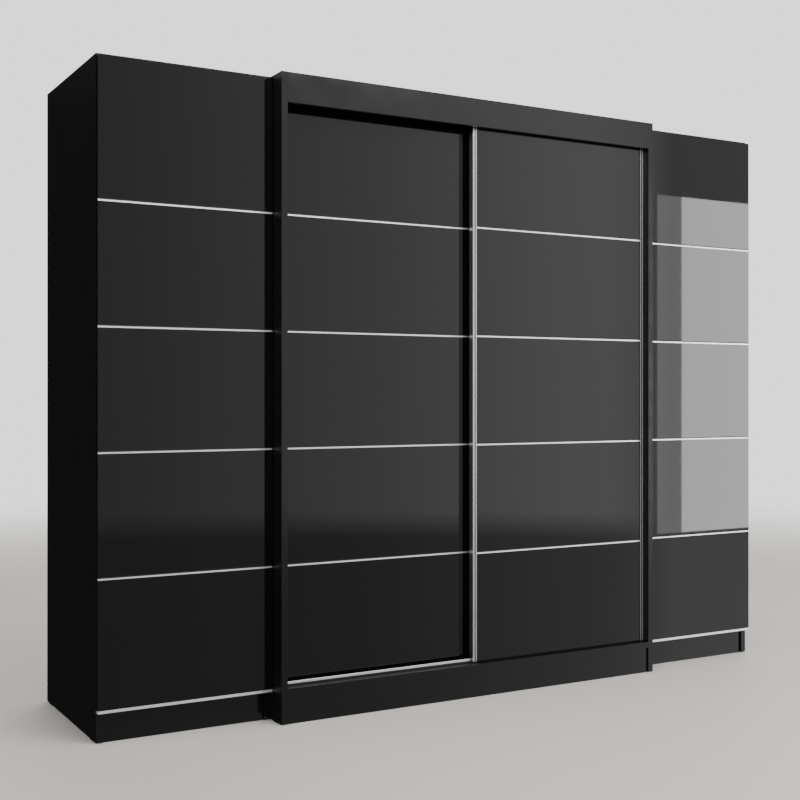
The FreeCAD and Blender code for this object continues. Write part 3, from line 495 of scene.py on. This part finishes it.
# A lipped seal runs above every strip: it stands on the panel, stands a little proud of the strip, and laps over
# the strip's upper edge. Its black also paints the shadow line that falls in the gap above each strip.
SEAL_HEIGHT = 2.4
SEAL_LAP = 1.1
SEAL_PROUD = 0.2
SEAL_SHOULDER = 1.2
SEAL_SLOPE = 0.4
FLANGE_DEPTH = 0.1
for door, skin in (("front_door", "panels"), ("rear_door", "panels"), ("left_door", "leaf"),
                   ("right_door", "leaf")):
    strips = f"{door}_strips"
    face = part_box(f"{door}_{skin}")[0][1]
    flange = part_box(strips)[0][1]
    proud = flange - SEAL_PROUD * MM
    shape = bmesh.new()
    for low, high in islands(strips):
        edge = max(vert.co.z for vert in NODES[strips].data.vertices
                   if vert.co.y < flange + FLANGE_DEPTH * MM and low.z <= vert.co.z <= high.z)
        top = edge + SEAL_HEIGHT * MM
        lap = edge - SEAL_LAP * MM
        section = ((face, edge), (flange, edge), (flange, lap), (proud, lap), (proud, top - SEAL_SHOULDER * MM),
                   (flange, top - SEAL_SLOPE * MM), (face, top))
        outline = [shape.verts.new((low.x, y, z)) for y, z in section]
        draw_out(shape, outline, (high.x - low.x, 0, 0))
    bmesh.ops.recalc_face_normals(shape, faces=shape.faces)
    keep(f"{door}_strip_seals_with_painted_shadow", shape, [SEAL], door)


# ---------------------------------------------------------------- screws

# A pan head, in shares of its radius: its outline outwards and upwards, then its cross recess.
HEAD_OUTLINE = ((1.0, 0.0), (1.0, 0.25), (0.86, 0.48), (0.7, 0.55))
HEAD_STEPS = 24
CROSS_ARM = 0.52
CROSS_HALF = 0.11
CROSS_FLOOR = 0.1
CROSS_TAPER = 0.8
LEVEL = 1e-7


def screw_head(radius_mm):
    """The head of a pan-head screw with a cross recess, standing on the origin."""
    radius = radius_mm * MM
    crown = radius * HEAD_OUTLINE[-1][1]
    shape = bmesh.new()
    outline = [shape.verts.new((radius * out, 0, radius * up)) for out, up in HEAD_OUTLINE]
    line = [shape.edges.new(pair) for pair in zip(outline, outline[1:])]
    bmesh.ops.spin(shape, geom=outline + line, cent=(0, 0, 0), axis=(0, 0, 1), angle=math.tau,
                   steps=HEAD_STEPS, use_merge=True)
    seat, top = [[edge for edge in shape.edges if all(abs(vert.co.z - height) < LEVEL for vert in edge.verts)]
                 for height in (0, crown)]
    bmesh.ops.edgeloop_fill(shape, edges=seat)
    arm, half = CROSS_ARM * radius, CROSS_HALF * radius
    cross = [(arm, -half), (arm, half), (half, half), (half, arm), (-half, arm), (-half, half),
             (-arm, half), (-arm, -half), (-half, -half), (-half, -arm), (half, -arm), (half, -half)]
    rim = [shape.verts.new((x, y, crown)) for x, y in cross]
    mouth = [shape.edges.new((vert, rim[k - 1])) for k, vert in enumerate(rim)]
    bmesh.ops.triangle_fill(shape, use_beauty=True, use_dissolve=False, edges=top + mouth, normal=(0, 0, 1))
    walls = bmesh.ops.extrude_edge_only(shape, edges=mouth)["geom"]
    deep = [item for item in walls if isinstance(item, bmesh.types.BMVert)]
    bmesh.ops.translate(shape, vec=(0, 0, CROSS_FLOOR * radius - crown), verts=deep)
    bmesh.ops.scale(shape, vec=(CROSS_TAPER, CROSS_TAPER, 1), verts=deep)
    floor = [edge for edge in shape.edges if all(vert in deep for vert in edge.verts)]
    bmesh.ops.edgeloop_fill(shape, edges=floor)
    bmesh.ops.recalc_face_normals(shape, faces=shape.faces)
    head = bpy.data.meshes.new("screw_head")
    shape.to_mesh(head)
    shape.free()
    return head


def set_screws(name, radius_mm, places):
    """Adds a fitting's screws as one piece. Each place is a point on the seat, and 1 or -1 for a head that
    faces right or left."""
    head = screw_head(radius_mm)
    shape = bmesh.new()
    for seat, facing in places:
        start = len(shape.verts)
        shape.from_mesh(head)
        shape.verts.ensure_lookup_table()
        turn = Vector((0, 0, 1)).rotation_difference(Vector((facing, 0, 0))).to_matrix().to_4x4()
        bmesh.ops.transform(shape, matrix=Matrix.Translation(seat) @ turn, verts=shape.verts[start:])
    bpy.data.meshes.remove(head)
    keep(name, shape, [STEEL], "cabinet")


# Two screws hold each hinge plate to its gable, above and below the arm.
PLATE_START = 12
PLATE_LENGTH = 50
PLATE_THICKNESS = 4
PLATE_SCREW_PLACE = 0.6
PLATE_SCREW_REACH = 17
gable_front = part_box("left_outer_gable")[0][1]
plate_y = gable_front + (PLATE_START + PLATE_LENGTH * PLATE_SCREW_PLACE) * MM
places = []
for low, high in islands("hinge_arms"):
    middle = (low + high) / 2
    facing = 1 if middle.x < 0 else -1
    inner_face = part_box("left_outer_gable")[1][0] if facing > 0 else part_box("right_outer_gable")[0][0]
    plate_x = inner_face + facing * PLATE_THICKNESS * MM
    places += [((plate_x, plate_y, middle.z + reach * MM), facing)
               for reach in (-PLATE_SCREW_REACH, PLATE_SCREW_REACH)]
set_screws("hinge_plate_screws", 4.0, places)

# Three screws stand round each rail socket, the first straight above the rail.
SOCKET_BASE = 3
SOCKET_SCREW_CIRCLE = 17.8
SOCKET_SCREWS = 3
RAIL_NEAR = 5
rails = islands("hanging_rails")
places = []
for low, high in islands("rail_sockets"):
    middle = (low + high) / 2
    rail = next(ends for ends in rails
                if ends[0].x < high.x + RAIL_NEAR * MM and ends[1].x > low.x - RAIL_NEAR * MM)
    facing = 1 if (rail[0].x + rail[1].x) / 2 > middle.x else -1
    base_x = low.x + SOCKET_BASE * MM if facing > 0 else high.x - SOCKET_BASE * MM
    for k in range(SOCKET_SCREWS):
        turn = math.tau * (k / SOCKET_SCREWS + 0.25)
        places.append(((base_x, middle.y + SOCKET_SCREW_CIRCLE * MM * math.cos(turn),
                        middle.z + SOCKET_SCREW_CIRCLE * MM * math.sin(turn)), facing))
set_screws("rail_socket_screws", 1.9, places)

# Two screws hold each latch body, in front of and behind its middle.
LATCH_SCREW_REACH = 21
places = []
for low, high in islands("latch_bodies"):
    middle = (low + high) / 2
    facing = -1 if middle.x < 0 else 1
    face_x = high.x if facing > 0 else low.x
    places += [((face_x, middle.y + reach * MM, middle.z), facing)
               for reach in (-LATCH_SCREW_REACH, LATCH_SCREW_REACH)]
set_screws("latch_screws", 3.0, places)
